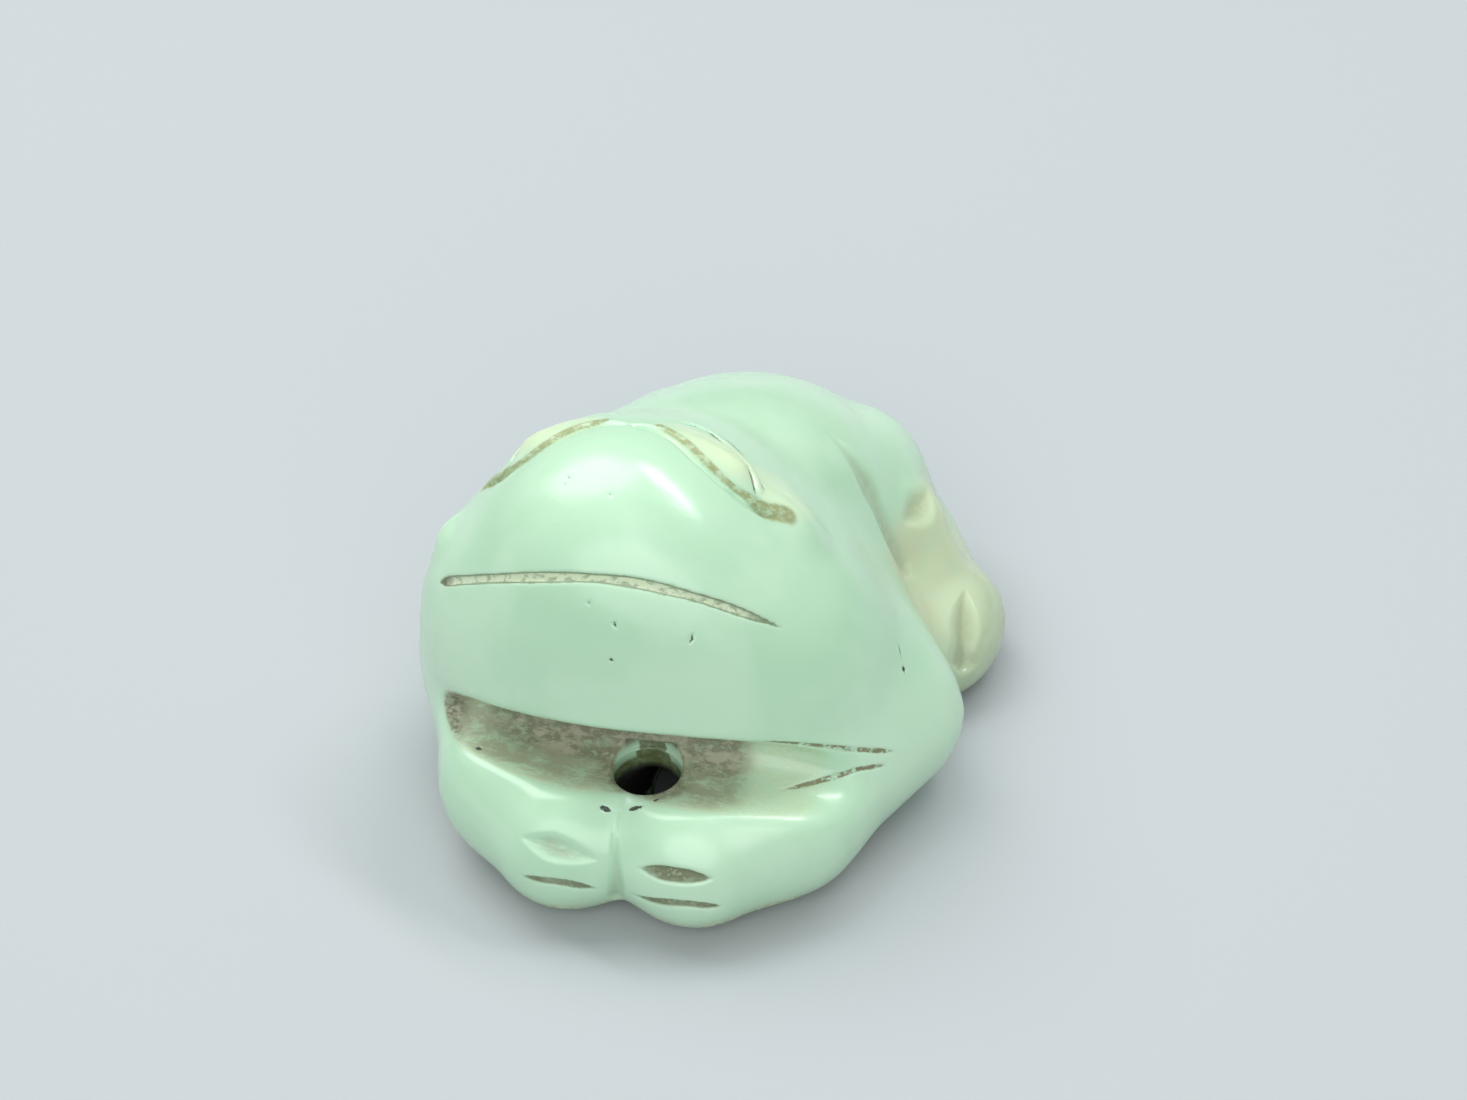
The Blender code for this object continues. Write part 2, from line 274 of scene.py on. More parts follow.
def slope_of(form, q, step=0.05):
    """Unit vectors pointing out of a form."""
    slope = np.stack([form(q + shift) - form(q - shift) for shift in np.eye(3) * step], axis=1)
    return slope / (length(slope)[:, None] + 1e-9)


# Share of the distance that a point travels in each round, less than 1 because the fields are rough
STRIDE = 0.8


def settle(form, q, rounds=8):
    """Move points onto the surface of a form."""
    for _ in range(rounds):
        q = q - STRIDE * form(q)[:, None] * slope_of(form, q)
    return q


print("height of the crown", settle(skin, np.array([[0.0, -9.0, 22.0]]))[0].round(2))

# %% [markdown]
# ## The cut lines
# The mouth, brows, lids, toes and leg folds were cut with a small wheel. Each is a path on the stone,
# so each is drawn as a few points, smoothed to a curve and laid on the surface. A wheel leaves a
# groove that thins out where it lifts, which the taper gives as a share of width and depth.

# %% Paths of the cuts
# Points in straight squares. Those of a brow or a leg are for the toad's left, and are mirrored
LINES = {
    "brow": ((0.0, -6.7, 21.6), (1.8, -6.9, 21.3), (3.8, -8.2, 20.8),
             (5.4, -8.9, 19.8), (6.7, -8.9, 18.7), (7.7, -8.3, 17.8)),
    "brow_dirt": ((1.4, -6.2, 21.3), (2.8, -7.1, 21.0), (3.8, -7.8, 20.7), (4.6, -8.3, 20.2),
                  (5.4, -8.6, 19.7), (6.2, -8.6, 19.1), (6.8, -8.6, 18.5), (7.6, -8.0, 17.8)),
    "lid": ((0.8, -5.6, 21.1), (2.3, -4.3, 20.2), (4.0, -4.9, 19.7),
            (5.3, -6.1, 19.3), (6.1, -7.0, 19.0), (6.5, -7.8, 18.8)),
    "lid_inner": ((1.2, -5.4, 20.9), (2.4, -4.6, 20.2), (3.4, -4.8, 19.9), (4.5, -5.8, 19.8),
                  (5.4, -6.6, 19.5), (6.0, -7.3, 19.2), (6.4, -8.1, 19.0)),
    "lid_outer": ((3.0, -3.9, 19.7), (4.2, -4.5, 19.4), (5.2, -5.3, 19.2),
                  (5.9, -6.3, 19.0), (6.4, -7.0, 18.8), (6.7, -7.5, 18.6)),
    "mouth": ((-9.6, -12.1, 14.4), (-4.1, -14.6, 17.4), (0.8, -15.0, 18.3),
              (4.8, -14.3, 17.2), (8.3, -13.1, 15.0)),
    "haunch": ((5.6, 2.5, 15.2), (7.8, 1.9, 12.9), (9.2, 1.2, 10.0), (9.8, 1.6, 6.5)),
    "knee": ((9.4, 2.8, 9.8), (9.9, 4.4, 9.9), (10.0, 6.4, 9.9)),
    "foot": ((12.9, 2.9, 5.7), (13.6, 0.6, 4.7), (13.9, -0.9, 2.9)),
    "toe_a": ((-4.7, -20.4, 5.8), (-2.7, -20.7, 5.6), (-0.8, -20.4, 4.9)),
    "toe_b": ((-4.8, -21.0, 3.7), (-2.6, -21.3, 3.8), (-0.8, -20.6, 3.1)),
    "toe_c": ((1.1, -20.5, 4.9), (3.2, -21.0, 5.2), (5.1, -20.6, 5.0)),
    "toe_d": ((0.7, -20.6, 3.0), (3.5, -21.3, 3.6), (5.5, -20.6, 3.2)),
    "end_upper": ((6.6, -15.9, 9.9), (9.5, -14.5, 8.8), (11.2, -13.2, 7.8), (12.8, -11.7, 6.6)),
    "end_lower": ((7.4, -15.6, 6.6), (9.8, -14.3, 6.7), (11.2, -13.7, 6.9), (12.4, -12.4, 6.3)),
    "cleft": ((-0.2, -19.0, 6.3), (0.0, -20.4, 3.7), (-0.3, -19.9, 1.5)),
}


def smooth_curve(points, steps=28):
    """A curve through points, read at short steps."""
    points = [Vector(point) for point in points]
    points = [2 * points[0] - points[1], *points, 2 * points[-1] - points[-2]]
    curve = []
    for a, b, c, d in zip(points, points[1:], points[2:], points[3:]):
        for step in range(steps):
            t = step / steps
            curve.append(0.5 * (2 * b + (c - a) * t + (2 * a - 5 * b + 4 * c - d) * t ** 2
                                + (3 * b - a - 3 * c + d) * t ** 3))
    curve.append(points[-2])
    return np.array(curve)


print(len(LINES), "lines drawn by", sum(len(points) for points in LINES.values()), "points")

# %% How each cut is made
# line: on both sides, width and depth in millimetres, flat share of its floor,
# share of its length in which it starts and ends, attribute that marks it
CUTS = {
    "mouth": (False, 0.64, 0.20, 0.45, 0.03, 0.20, "cut_mouth"),
    "brow": (True, 0.95, 0.36, 0.00, 0.10, 0.25, "cut_brow"),
    "brow_dirt": (True, 0.28, 0.05, 0.10, 0.20, 0.20, "cut_dirt"),
    "lid": (True, 0.80, -0.12, 0.20, 0.30, 0.20, "lid_ridge"),
    "lid_inner": (True, 0.24, 0.10, 0.20, 0.40, 0.10, "cut_lid"),
    "lid_outer": (True, 0.20, 0.07, 0.20, 0.30, 0.30, "cut_lid"),
    "haunch": (True, 3.40, 0.40, 0.00, 0.45, 0.30, "cut_fold"),
    "knee": (True, 2.80, 0.28, 0.00, 0.40, 0.55, "cut_fold"),
    "foot": (True, 2.50, 0.50, 0.00, 0.50, 0.15, "cut_fold"),
    "toe_a": (False, 1.90, 0.30, 0.20, 0.50, 0.50, "cut_pocket"),
    "toe_b": (False, 0.66, 0.30, 0.45, 0.30, 0.40, "cut_toe"),
    "toe_c": (False, 1.10, 0.34, 0.40, 0.40, 0.40, "cut_toe"),
    "toe_d": (False, 0.66, 0.30, 0.45, 0.40, 0.30, "cut_toe"),
    "end_upper": (False, 0.45, 0.12, 0.30, 0.20, 0.20, "cut_end"),
    "end_lower": (False, 0.40, 0.12, 0.30, 0.20, 0.20, "cut_end"),
    "cleft": (False, 1.20, 0.30, 0.00, 0.50, 0.20, "cut_cleft"),
}
# A hand-held wheel doesn't cut evenly: the most that a cut thins on its way, and the points per swing
WAVER, SWING = 0.22, 9


def cut_paths():
    """Every cut as (name, points in straight squares, taper, width, depth, flat share, mark)."""
    made, chance = [], np.random.default_rng(11)
    for name, (both, width, depth, flat, rise, fall, mark) in CUTS.items():
        for side in (1, -1)[:1 + both]:
            curve = smooth_curve(LINES[name])
            curve[:, 0] *= side
            curve = settle(skin, curve)
            share = np.linspace(0, 1, len(curve))
            taper = np.sqrt(np.minimum(ease(share, -0.01, rise + 0.01), 1 - ease(share, 1.01 - fall, fall)))
            turns = np.linspace(0, 1, max(len(curve) // SWING, 2))
            taper *= 1 - WAVER * np.interp(share, turns, chance.random(len(turns)))
            label = name if not both else name + ("_left" if side > 0 else "_right")
            made.append((label, curve, taper, width, depth, flat, mark))
    return made


PATHS = cut_paths()
print(len(PATHS), "cuts,", sum(len(path[1]) for path in PATHS), "points")

# %% [markdown]
# ## Specks
# Old jade has small pits and short scratches that hold dirt. They are drawn as very short strokes
# that are cut the same way as the lines, only finer.

# %% Specks and scratches
# Two ends and a width in millimetres for each stroke
SPECKS = (((-0.9, -18.6, 6.8), (-0.4, -18.6, 6.6), 0.30), ((0.4, -18.4, 6.6), (1.2, -18.3, 7.0), 0.26),
          ((1.6, -18.0, 7.2), (2.0, -17.7, 7.2), 0.20), ((0.8, -16.1, 16.6), (0.9, -16.2, 16.3), 0.18),
          ((0.4, -16.8, 14.8), (0.7, -16.8, 14.7), 0.18), ((4.5, -15.4, 15.9), (4.3, -15.7, 15.4), 0.17),
          ((12.5, -7.8, 10.5), (12.7, -8.4, 9.9), 0.14), ((12.8, -8.6, 9.7), (12.9, -8.8, 9.4), 0.26),
          ((-2.1, -11.0, 21.2), (-1.9, -11.1, 21.2), 0.13), ((-2.2, -11.4, 21.0), (-2.0, -11.5, 21.0), 0.12),
          ((0.2, -11.9, 21.1), (0.4, -12.0, 21.1), 0.13), ((-8.0, -16.1, 7.5), (-7.6, -16.2, 7.4), 0.30),
          ((-0.4, -15.7, 17.4), (-0.4, -15.8, 17.2), 0.13), ((4.0, 9.0, 14.8), (4.3, 9.3, 14.6), 0.22),
          ((-5.0, 6.0, 15.0), (-5.2, 6.4, 14.8), 0.18), ((1.0, 14.0, 12.0), (1.5, 14.2, 11.8), 0.22),
          ((-9.0, -3.0, 14.0), (-9.1, -3.4, 13.6), 0.18), ((-12.9, -6.0, 8.0), (-12.9, -5.4, 8.1), 0.20))
SPECK_WIDTH, SPECK_DEPTH, SPECK_FLAT = 0.34, 0.12, 0.3
SPECK_TAPER = np.array((0.5, 1.0, 1.2, 0.9, 0.5))


def speck_strokes():
    """Short strokes on the skin in straight squares, each with shares of the widest width."""
    strokes = []
    for start, end, width in SPECKS:
        points = np.linspace(start, end, len(SPECK_TAPER))
        strokes.append((settle(skin, points), width / SPECK_WIDTH * SPECK_TAPER))
    return strokes


STROKES = speck_strokes()
print(len(STROKES), "specks")

# %% [markdown]
# ## The fine mesh
# A ball of even triangles is blown up from the heart of the toad: each point travels out along its
# own ray and stops on the skin. A lens-shaped cutter takes the hollow away, and a voxel remesh makes
# all faces even again. Every vertex is then set exactly on the form. Long edges are halved, down to
# a ninth of a millimetre beside the cuts, so that the faces are spent where the eye needs them.

# %% Blowing up the ball
HEART = np.array((0.0, -3.0, 9.0))
# Each ray starts well outside the toad and comes in
FAR_OUT, RAY_ROUNDS = 40.0, 60


def read_places(vertices):
    """Places of vertices as rows of an array."""
    return np.array([vertex.co for vertex in vertices])


def write_places(vertices, places):
    """Put each vertex at its row of an array."""
    for vertex, place in zip(vertices, places):
        vertex.co = place


def new_object(name, bm):
    """A bmesh as an object in the scene."""
    data = bpy.data.meshes.new(name)
    bm.to_mesh(data)
    bm.free()
    made = bpy.data.objects.new(name, data)
    bpy.context.scene.collection.objects.link(made)
    return made


def blown_ball():
    """The skin before the hollow is cut, in leaning squares."""
    bm = bmesh.new()
    bmesh.ops.create_icosphere(bm, subdivisions=6, radius=1.0)
    rays = read_places(bm.verts)
    reach = np.full(len(rays), FAR_OUT)
    for _ in range(RAY_ROUNDS):
        reach -= STRIDE * closed_skin(straighten(HEART + rays * reach[:, None]))
    write_places(bm.verts, HEART + rays * reach[:, None])
    return new_object("toad_skin", bm)


def hollow_cutter():
    """The hollow as a closed lens, in leaning squares."""
    bm = bmesh.new()
    bmesh.ops.create_icosphere(bm, subdivisions=6, radius=1.0)
    q = HOLLOW_PLACE + HOLLOW_RADII * read_places(bm.verts)
    back, down = hollow_shift(q[:, 0])
    q[:, 1] += back
    q[:, 2] += down
    write_places(bm.verts, lean(q))
    return new_object("hollow_cutter", bm)


def bake(body):
    """Turn a body and its modifiers into a plain mesh."""
    graph = bpy.context.evaluated_depsgraph_get()
    plain = bpy.data.meshes.new_from_object(
        body.evaluated_get(graph), preserve_all_data_layers=True, depsgraph=graph)
    body.modifiers.clear()
    body.data = plain


def take_away(body, cutters):
    """Cut closed cutters out of a body, and remove them."""
    for cutter in cutters:
        modifier = body.modifiers.new(cutter.name, "BOOLEAN")
        modifier.object = cutter
        modifier.operation = "DIFFERENCE"
        modifier.solver = "EXACT"
    bake(body)
    for cutter in cutters:
        bpy.data.objects.remove(cutter, do_unlink=True)


# Edge of a voxel in squares
VOXEL = 0.30
toad = blown_ball()
take_away(toad, [hollow_cutter()])
even = toad.modifiers.new("even", "REMESH")
even.mode = "VOXEL"
even.voxel_size = VOXEL
bake(toad)
print("evened out to", len(toad.data.polygons), "quads")

# %% Where the faces have to be small
# Edges wanted beside a cut, on the front, on the back and underside, and at the lip of the hollow
FINE, FRONT, BEHIND, LIP = 0.11, 0.27, 0.42, 0.15
# How fast edges may grow away from a cut and from the lip
CUT_GROWTH, LIP_GROWTH = 0.25, 0.3
UNDERSIDE = 0.6


def near_cuts():
    """A search tree over all points of the cuts and specks, and half the width of each."""
    dense, halves = [], []
    for _, curve, _, width, *_ in PATHS:
        dense.extend(curve)
        halves.extend([width / 2] * len(curve))
    for stroke, share in STROKES:
        dense.extend(stroke)
        halves.extend(share * SPECK_WIDTH / 2)
    tree = KDTree(len(dense))
    for index, place in enumerate(dense):
        tree.insert(place, index)
    tree.balance()
    return tree, halves


CUT_TREE, CUT_HALVES = near_cuts()


def wanted_edge(places):
    """Edge length wanted at each place of the leaning toad, in squares."""
    q = straighten(places)
    wanted = FRONT + (BEHIND - FRONT) * ease(q[:, 1], 0.0, 6.0)
    wanted = np.maximum(wanted, np.where(q[:, 2] < UNDERSIDE, BEHIND, 0))
    from_lip = np.abs(hollow(q)) + np.abs(closed_skin(q))
    wanted = np.minimum(wanted, LIP + LIP_GROWTH * from_lip)
    found = [CUT_TREE.find(place)[1:] for place in q]
    beyond = np.array([max(distance - CUT_HALVES[index], 0) for index, distance in found])
    return np.minimum(wanted, FINE + CUT_GROWTH * beyond)


print("edges from", FINE, "to", BEHIND, "squares, fine near", len(CUT_HALVES), "points of the cuts")

# %% Setting it on the form and halving its edges
# An edge is halved when it is this many times longer than wanted
TOO_LONG = 1.4
# Height of the flat underside above the foot of the form, in squares
BASE_CUT = 0.03


def set_on_form(vertices, rounds):
    """Move vertices straight onto the skin."""
    if len(vertices):
        write_places(vertices, lean(settle(skin, straighten(read_places(vertices)), rounds)))


def halve_long_edges(bm):
    """Halve each edge that is longer than wanted, and set the new vertices on the skin."""
    edges = list(bm.edges)
    ends = np.array([[vertex.co for vertex in edge.verts] for edge in edges])
    excess = length(ends[:, 1] - ends[:, 0]) / wanted_edge(ends.mean(axis=1))
    waiting = [edges[index] for index in np.argsort(-excess, kind="stable") if excess[index] > TOO_LONG]
    before = len(bm.verts)
    while waiting:
        # One edge of a triangle at a time, so that every face stays a triangle
        chosen, later, touched = [], [], set()
        for edge in waiting:
            if touched.isdisjoint(edge.link_faces):
                chosen.append(edge)
                touched.update(edge.link_faces)
            else:
                later.append(edge)
        bmesh.ops.subdivide_edges(bm, edges=chosen, cuts=1, use_single_edge=True)
        waiting = later
    bm.verts.ensure_lookup_table()
    fresh = bm.verts[before:]
    set_on_form(fresh, 3)
    return len(fresh)


def spread_evenly(bm, rounds):
    """Move vertices towards the middle of their neighbours, and back onto the skin."""
    bmesh.ops.smooth_vert(
        bm, verts=bm.verts[:], factor=0.5, use_axis_x=True, use_axis_y=True, use_axis_z=True)
    set_on_form(bm.verts[:], rounds)


def refined(body):
    """The evened body as a bmesh of triangles on the form, fine beside the cuts, with a flat base."""
    bm = bmesh.new()
    bm.from_mesh(body.data)
    bmesh.ops.triangulate(bm, faces=bm.faces[:])
    set_on_form(bm.verts[:], 8)
    spread_evenly(bm, 4)
    for _ in range(4):
        fresh = halve_long_edges(bm)
        print(fresh, "new vertices,", len(bm.faces), "faces")
        if not fresh:
            break
    spread_evenly(bm, 3)
    bmesh.ops.bisect_plane(bm, geom=bm.verts[:] + bm.edges[:] + bm.faces[:], plane_co=(0, 0, BASE_CUT),
                           plane_no=(0, 0, -1), clear_outer=True)
    bmesh.ops.holes_fill(bm, edges=[edge for edge in bm.edges if edge.is_boundary], sides=0)
    bmesh.ops.triangulate(bm, faces=[face for face in bm.faces if len(face.verts) > 3])
    bmesh.ops.recalc_face_normals(bm, faces=bm.faces[:])
    return bm


# %% Setting it in the box of the solid
# Share of the box that the skin fills, so that no vertex stands outside it
WITHIN = 0.9999


def place_in_box(bm):
    """Set the skin in the box of the solid, in metres. Returns the scale and the shift."""
    places = read_places(bm.verts)
    low, high = places.min(axis=0), places.max(axis=0)
    scale = (CAD_HIGH - CAD_LOW) / (high - low) * WITHIN
    shift = (CAD_HIGH + CAD_LOW) / 2 - (low + high) / 2 * scale
    write_places(bm.verts, places * scale + shift)
    return scale, shift


bm = refined(toad)
SCALE, SHIFT = place_in_box(bm)
bm.to_mesh(toad.data)
bm.free()
print("scale to metres", SCALE, "shift", SHIFT, "faces", len(toad.data.polygons))

# %% [markdown]
# ## Cutting the lines with Geometry Nodes
# All cuts are alike: the stone goes down near a path. One node tree does it for any path. It measures
# how far each vertex of the skin lies from the path, turns that into the profile of a groove, moves
# the vertex along its normal, and keeps the profile as an attribute, so that the finish knows where
# the groove is. A negative depth raises a bead instead.

# %% One function for every node
def add_node(tree, kind, inputs=None, **settings):
    """A node of a kind, with its settings, and with values or links on its inputs."""
    made = tree.nodes.new(kind)
    for name, value in settings.items():
        setattr(made, name, value)
    for key, value in (inputs or {}).items():
        if isinstance(value, bpy.types.NodeSocket):
            tree.links.new(value, made.inputs[key])
        else:
            made.inputs[key].default_value = value
    return made


print("add_node is ready")

# %% The tree that cuts along a path
def cutting_tree():
    """Geometry Nodes tree with inputs Path, Width, Depth, Flat share, Mark and Stone."""
    tree = bpy.data.node_groups.new("cut_along_path", "GeometryNodeTree")
    face = tree.interface
    face.new_socket("Geometry", in_out="INPUT", socket_type="NodeSocketGeometry")
    face.new_socket("Path", in_out="INPUT", socket_type="NodeSocketObject")
    for name in ("Width", "Depth", "Flat share"):
        face.new_socket(name, in_out="INPUT", socket_type="NodeSocketFloat")
    face.new_socket("Mark", in_out="INPUT", socket_type="NodeSocketString")
    face.new_socket("Stone", in_out="INPUT", socket_type="NodeSocketMaterial")
    face.new_socket("Geometry", in_out="OUTPUT", socket_type="NodeSocketGeometry")
    start = add_node(tree, "NodeGroupInput").outputs
    # The nearest place on the path, and how far the cut has thinned out there
    path = add_node(tree, "GeometryNodeObjectInfo", {0: start["Path"]}).outputs["Geometry"]
    near = add_node(tree, "GeometryNodeProximity", {0: path}, target_element="EDGES").outputs
    index = add_node(
        tree, "GeometryNodeSampleNearest", {0: path, 1: near["Position"]}, domain="POINT").outputs[0]
    thinned = add_node(
        tree, "GeometryNodeInputNamedAttribute", {"Name": "taper"}, data_type="FLOAT").outputs[0]
    taper = add_node(
        tree, "GeometryNodeSampleIndex", {0: path, 1: thinned, 2: index},
        data_type="FLOAT", domain="POINT").outputs[0]
    # The groove: 1 on its flat floor, falling to 0 at its edge
    half = add_node(tree, "ShaderNodeMath", {0: start["Width"], 1: 0.5}, operation="MULTIPLY").outputs[0]
    edge = add_node(tree, "ShaderNodeMath", {0: half, 1: taper}, operation="MULTIPLY").outputs[0]
    edge = add_node(tree, "ShaderNodeMath", {0: edge, 1: 1e-6}, operation="ADD").outputs[0]
    flat = add_node(
        tree, "ShaderNodeMath", {0: edge, 1: start["Flat share"]}, operation="MULTIPLY").outputs[0]
    profile = add_node(tree, "ShaderNodeMapRange", {0: near["Distance"], 1: flat, 2: edge, 3: 1.0, 4: 0.0},
                       interpolation_type="SMOOTHSTEP").outputs[0]
    profile = add_node(tree, "ShaderNodeMath", {0: profile, 1: taper}, operation="MULTIPLY").outputs[0]
    # The skin sinks along its normal, and the deepest profile so far is kept as the mark
    down = add_node(tree, "ShaderNodeMath", {0: profile, 1: start["Depth"]}, operation="MULTIPLY").outputs[0]
    down = add_node(tree, "ShaderNodeMath", {0: down, 1: -1.0}, operation="MULTIPLY").outputs[0]
    normal = add_node(tree, "GeometryNodeInputNormal").outputs[0]
    move = add_node(tree, "ShaderNodeVectorMath", {0: normal, "Scale": down}, operation="SCALE").outputs[0]
    before = add_node(
        tree, "GeometryNodeInputNamedAttribute", {"Name": start["Mark"]}, data_type="FLOAT").outputs[0]
    mark = add_node(tree, "ShaderNodeMath", {0: before, 1: profile}, operation="MAXIMUM").outputs[0]
    kept = add_node(tree, "GeometryNodeStoreNamedAttribute",
                    {"Geometry": start["Geometry"], "Name": start["Mark"], "Value": mark},
                    data_type="FLOAT", domain="POINT").outputs[0]
    moved = add_node(tree, "GeometryNodeSetPosition", {"Geometry": kept, "Offset": move}).outputs[0]
    # What leaves the tree is plain mesh in its stone, with no instance that an export would drop
    plain = add_node(tree, "GeometryNodeRealizeInstances", {"Geometry": moved}).outputs[0]
    dressed = add_node(
        tree, "GeometryNodeSetMaterial", {"Geometry": plain, "Material": start["Stone"]}).outputs[0]
    add_node(tree, "NodeGroupOutput", {"Geometry": dressed})
    return tree


tree = cutting_tree()
print("the cutting tree has", len(tree.nodes), "nodes")

# %% Paths as objects
def to_metres(q):
    """Points of the straight toad in squares, brought to the leaning one in metres."""
    return lean(q) * SCALE + SHIFT


def path_object(name, strokes):
    """Strokes of (points, taper) as one object of loose edges."""
    verts, edges, tapers = [], [], []
    for points, taper in strokes:
        first = len(verts)
        verts.extend(points)
        tapers.extend(taper)
        edges.extend((first + i, first + i + 1) for i in range(len(points) - 1))
    data = bpy.data.meshes.new(name)
    data.from_pydata([tuple(v) for v in verts], edges, [])
    kept = data.attributes.new("taper", "FLOAT", "POINT")
    kept.data.foreach_set("value", np.array(tapers, dtype=np.float32))
    made = bpy.data.objects.new(name, data)
    bpy.context.scene.collection.objects.link(made)
    return made


print("the heart of the toad in metres:", to_metres(HEART[None])[0].round(4))

# %% The cutting itself
# The stone is named here and gets its nodes further down, where its colours are
stone = bpy.data.materials.new("polished_nephrite_jade")


def cut_along(body, tree, path, width, depth, flat, mark):
    """Add a cut to a body as a modifier. Sizes in metres."""
    modifier = body.modifiers.new(path.name, "NODES")
    modifier.node_group = tree
    wanted = {"Path": path, "Width": width, "Depth": depth, "Flat share": flat, "Mark": mark, "Stone": stone}
    for item in tree.interface.items_tree:
        if item.name in wanted:
            modifier[item.identifier] = wanted[item.name]


guides = []
for label, curve, taper, width, depth, flat, mark in PATHS:
    guides.append(path_object("path_" + label, [(to_metres(curve), taper)]))
    cut_along(toad, tree, guides[-1], width * MM, depth * MM, flat, mark)
guides.append(path_object("path_specks", [(to_metres(stroke), share) for stroke, share in STROKES]))
cut_along(toad, tree, guides[-1], SPECK_WIDTH * MM, SPECK_DEPTH * MM, SPECK_FLAT, "speck")
bake(toad)
for guide in guides:
    bpy.data.objects.remove(guide, do_unlink=True)
print("cut:", [a.name for a in toad.data.attributes if a.data_type == "FLOAT"])

# %% [markdown]
# ## The hanging hole
# Two holes were drilled to meet inside the stone: one straight down from the hollow under the chin,
# one slanting up from the underside. The cutters are turned profiles, and the upright one flares a
# little at the mouth, because a cord and the hand have worn the edge round.

# %% Drilling
HOLE_PLACE = Vector(SCALE * (0.6, -15.9, 7.1) + SHIFT)
HOLE_DIAMETER, HOLE_DEPTH = 3.4 * MM, 3.4 * MM
EXIT_DIAMETER, EXIT_TILT = 3.0 * MM, math.radians(52)
WORN_EDGE = 0.14 * MM
# How far the upright cutter stands above the mouth of the hole, and the worn edge lies below it
HEADROOM, MOUTH_SINK = 0.8 * MM, 0.05 * MM


def turned_cutter(name, start, run, radius, flares, steps=48):
    """A round cutter from a start along a run. Each flare is (share of the run, wider radius)."""
    bm = bmesh.new()
    rings = []
    turned = run.to_track_quat("Z", "Y").to_matrix()
    circle = [2 * math.pi * k / steps for k in range(steps)]
    for share, more in flares:
        wide = radius + more
        rings.append([
            bm.verts.new(start + run * share + turned @ Vector((wide * math.cos(a), wide * math.sin(a), 0)))
            for a in circle])
    for low, high in zip(rings, rings[1:]):
        for k in range(steps):
            bm.faces.new((low[k], low[(k + 1) % steps], high[(k + 1) % steps], high[k]))
    bm.faces.new(rings[0][::-1])
    bm.faces.new(rings[-1])
    bmesh.ops.recalc_face_normals(bm, faces=bm.faces[:])
    return new_object(name, bm)


def worn(depth_share, spread, steps=6):
    """A quarter round of the worn edge, as flares up to the mouth's share of the run."""
    flares = []
    for k in range(steps + 1):
        angle = math.pi / 2 * k / steps
        flares.append((depth_share + spread * math.sin(angle) - spread, WORN_EDGE * (1 - math.cos(angle))))
    return flares


up = Vector((0, 0, 1))
bottom = HOLE_PLACE - up * HOLE_DEPTH
run = up * (HOLE_DEPTH + HEADROOM)
mouth_share = (HOLE_DEPTH - MOUTH_SINK) / run.length
# Rings along the wall too, so that the wall has vertices to carry its colour
wall = [(share, 0) for share in (0, 0.15, 0.30, 0.45, 0.60)]
upright = turned_cutter("upright_drill", bottom, run, HOLE_DIAMETER / 2,
                        [*wall, *worn(mouth_share, WORN_EDGE / run.length), (1, WORN_EDGE)])
inner = bottom + up * EXIT_DIAMETER / 2
slant = Vector((0, math.sin(EXIT_TILT), -math.cos(EXIT_TILT)))
reach = (inner.z + EXIT_DIAMETER) / math.cos(EXIT_TILT)
slanting = turned_cutter("slanting_drill", inner, slant * reach, EXIT_DIAMETER / 2,
                         [(step / 8, 0) for step in range(9)])
take_away(toad, [upright, slanting])
for polygon in toad.data.polygons:
    polygon.use_smooth = True
print("drilled:", len(toad.data.polygons), "faces")

# %% [markdown]
# ## Where the stone is stained, and where shade is painted
# The colour of old jade follows its shape: dirt and iron stain sit in the hollow under the chin,
# behind the brows and in the cuts, and the skin of the pebble stays cream on the eyes and the hind
# legs. Shade is painted too: into the leg folds, along the cleft between the paws, and onto the wall
# of the drilled hole, near black low down. The zones are worked out from the form, once for each
# vertex, and kept as attributes.

# %% Reading the form back
def cut_mark(name):
    """A cut's profile at each vertex, or zeros where the cut doesn't reach."""
    values = np.zeros(len(toad.data.vertices), dtype=np.float32)
    toad.data.attributes[name].data.foreach_get("value", values)
    return values


def far_from(q, labels, limit):
    """Distance from the named cuts in squares, read only up to a limit."""
    curves = [path[1] for path in PATHS if path[0] in labels]
    tree = KDTree(sum(len(curve) for curve in curves))
    for point in np.concatenate(curves):
        tree.insert(point, 0)
    tree.balance()
    low = np.min([curve.min(axis=0) for curve in curves], axis=0) - limit
    high = np.max([curve.max(axis=0) for curve in curves], axis=0) + limit
    far = np.full(len(q), limit)
    for index in np.nonzero(((q > low) & (q < high)).all(axis=1))[0]:
        far[index] = min(tree.find(q[index])[2], limit)
    return far


# A vertex this far below the skin, and this high above the base, lies on a drilled wall
OFF_SKIN, ABOVE_BASE = 0.9, 0.2
places = read_places(toad.data.vertices)
q = straighten((places - SHIFT) / SCALE)
x, y, z = q.T
# Mask of the drilled wall, which gets olive dirt and painted shade
drilled = ((np.abs(skin(q)) > OFF_SKIN) & (z > ABOVE_BASE)).astype(float)
in_hollow = (1 - ease(np.abs(hollow(q)), 0.12, 0.30)) * (1 - drilled)
inward = -closed_skin(q)
from_hole = np.hypot(*(places[:, :2] - np.array(HOLE_PLACE)[:2]).T) / MM
print("hollow", int((in_hollow > 0.5).sum()), "vertices, drilled", int((drilled > 0.5).sum()))

